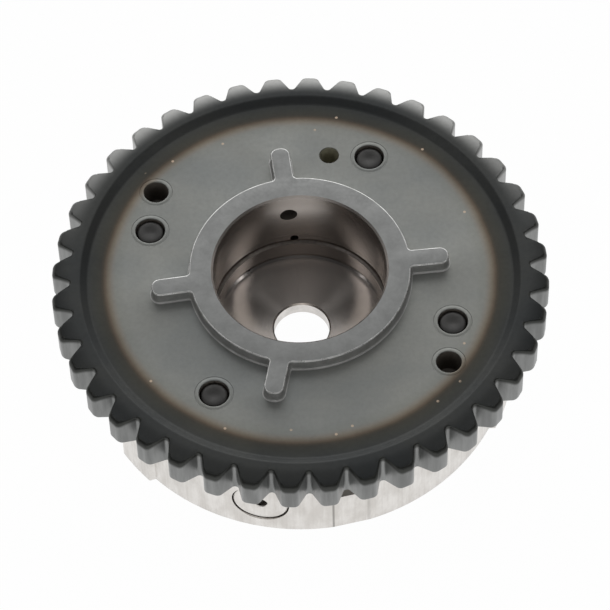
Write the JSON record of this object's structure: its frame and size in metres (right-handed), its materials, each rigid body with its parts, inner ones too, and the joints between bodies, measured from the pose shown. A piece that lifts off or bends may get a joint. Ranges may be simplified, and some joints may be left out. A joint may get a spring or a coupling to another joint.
{
  "type": "cam phaser",
  "caption": "Vane-type cam phaser: a wide toothed chain sprocket with a camshaft bore, bolted to a round alloy case in which a vaned rotor turns.",
  "frame": {"origin": "On the turning axis, at the level of the case bolt heads on which the part stands", "axes": "+Z along the turning axis, out of the sprocket's camshaft side; +X to the right in the picture"},
  "size_m": [0.1022, 0.1022, 0.04],
  "materials": {
    "machined_steel": "dark grey machined and heat-tinted steel",
    "cast_alloy": "pale satin alloy with fine machining marks",
    "sintered_steel": "dark brownish sintered steel, turned in the bore",
    "black_bolt_steel": "black oxide",
    "ground_steel": "ground and hardened",
    "spring_steel": "bright drawn spring wire and strip",
    "seal_polymer": "dark satin polymer"
  },
  "bodies": {
    "housing": {"sprocket": "machined_steel", "case": "cast_alloy", "front_cover": "machined_steel", "case_bolt_1": "black_bolt_steel", "case_bolt_2": "black_bolt_steel", "case_bolt_3": "black_bolt_steel", "case_bolt_4": "black_bolt_steel", "shoe_seal_1": "seal_polymer", "shoe_seal_2": "seal_polymer", "shoe_seal_3": "seal_polymer", "shoe_seal_4": "seal_polymer", "shoe_spring_1": "spring_steel", "shoe_spring_2": "spring_steel", "shoe_spring_3": "spring_steel", "shoe_spring_4": "spring_steel", "lock_sleeve": "ground_steel", "lock_plug": "cast_alloy"},
    "rotor_group": {"rotor": "sintered_steel", "vane_seal_1": "seal_polymer", "vane_seal_2": "seal_polymer", "vane_seal_3": "seal_polymer", "vane_seal_4": "seal_polymer", "vane_spring_1": "spring_steel", "vane_spring_2": "spring_steel", "vane_spring_3": "spring_steel", "vane_spring_4": "spring_steel"},
    "pin_group": {"lock_pin": "ground_steel", "lock_spring": "spring_steel"}
  },
  "joints": [
    {"name": "rotor_turn", "type": "hinge", "parent": "housing", "child": "rotor_group", "pos_m": [0, 0, 0.0171], "axis": [0, 0, 1], "range_deg": [-12.5, 12.5]},
    {"name": "lock_pin_slide", "type": "slide", "parent": "housing", "child": "pin_group", "axis": [-0.2198, -0.9755, 0], "range_m": [0, 0.0012], "stiffness_N_per_m": 400, "deforming": ["lock_spring"]}
  ]
}
